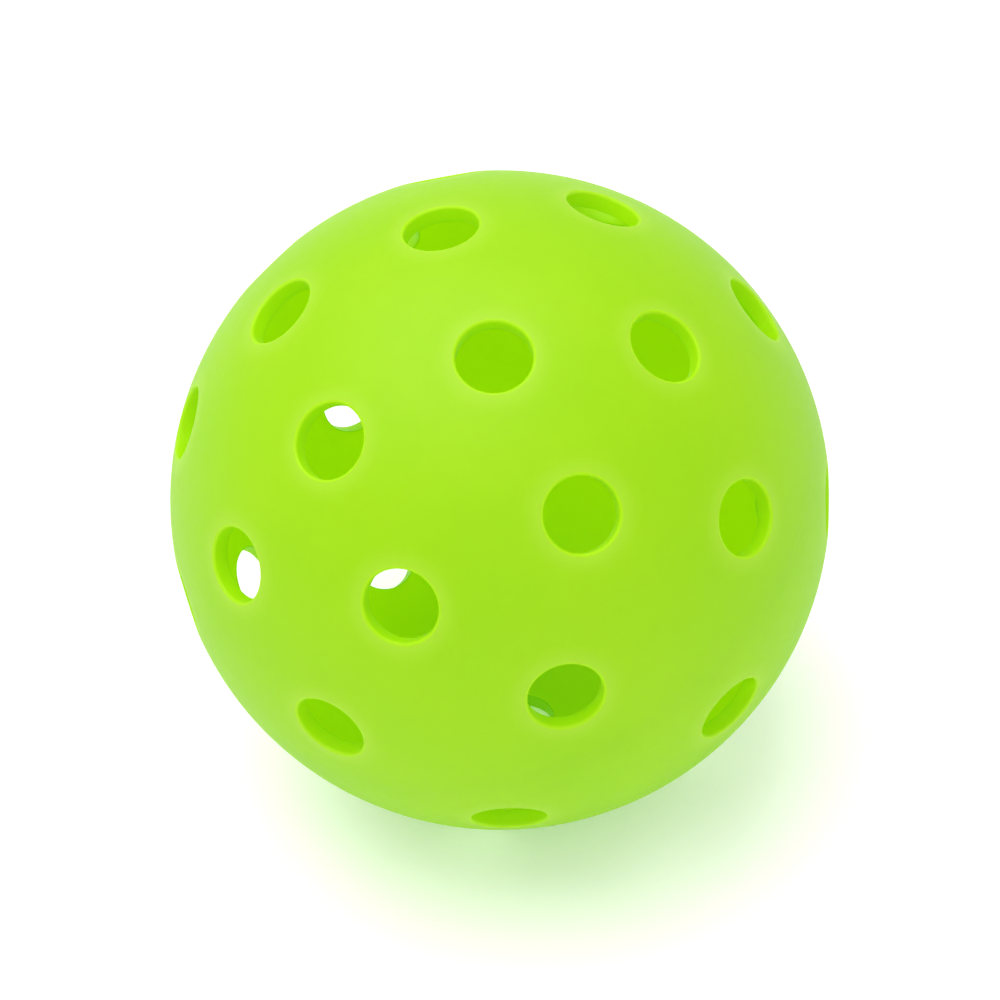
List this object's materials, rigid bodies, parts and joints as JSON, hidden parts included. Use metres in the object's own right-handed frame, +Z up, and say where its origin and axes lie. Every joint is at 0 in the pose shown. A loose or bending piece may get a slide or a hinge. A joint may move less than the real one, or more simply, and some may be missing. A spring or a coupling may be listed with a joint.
{
  "type": "pickleball",
  "caption": "Hollow perforated pickleball: two thin moulded half shells with rings of round air holes, welded at the equator.",
  "frame": {"origin": "centre of the ball", "axes": "+Z up, with the ball standing on one air hole of its lower half whose axis is -Z; the line through the two poles lies in the XZ plane and leans from +Z towards -X by 22.1 degrees"},
  "size_m": [0.074, 0.074, 0.0737],
  "materials": {
    "shell": "bright lime, softly translucent moulded polyethylene with a fine satin surface",
    "weld": "the same polyethylene, remelted: slightly smoother and clearer"
  },
  "bodies": {
    "root": {"upper_half_shell": "shell", "lower_half_shell": "shell", "weld_bead": "weld"}
  },
  "joints": []
}
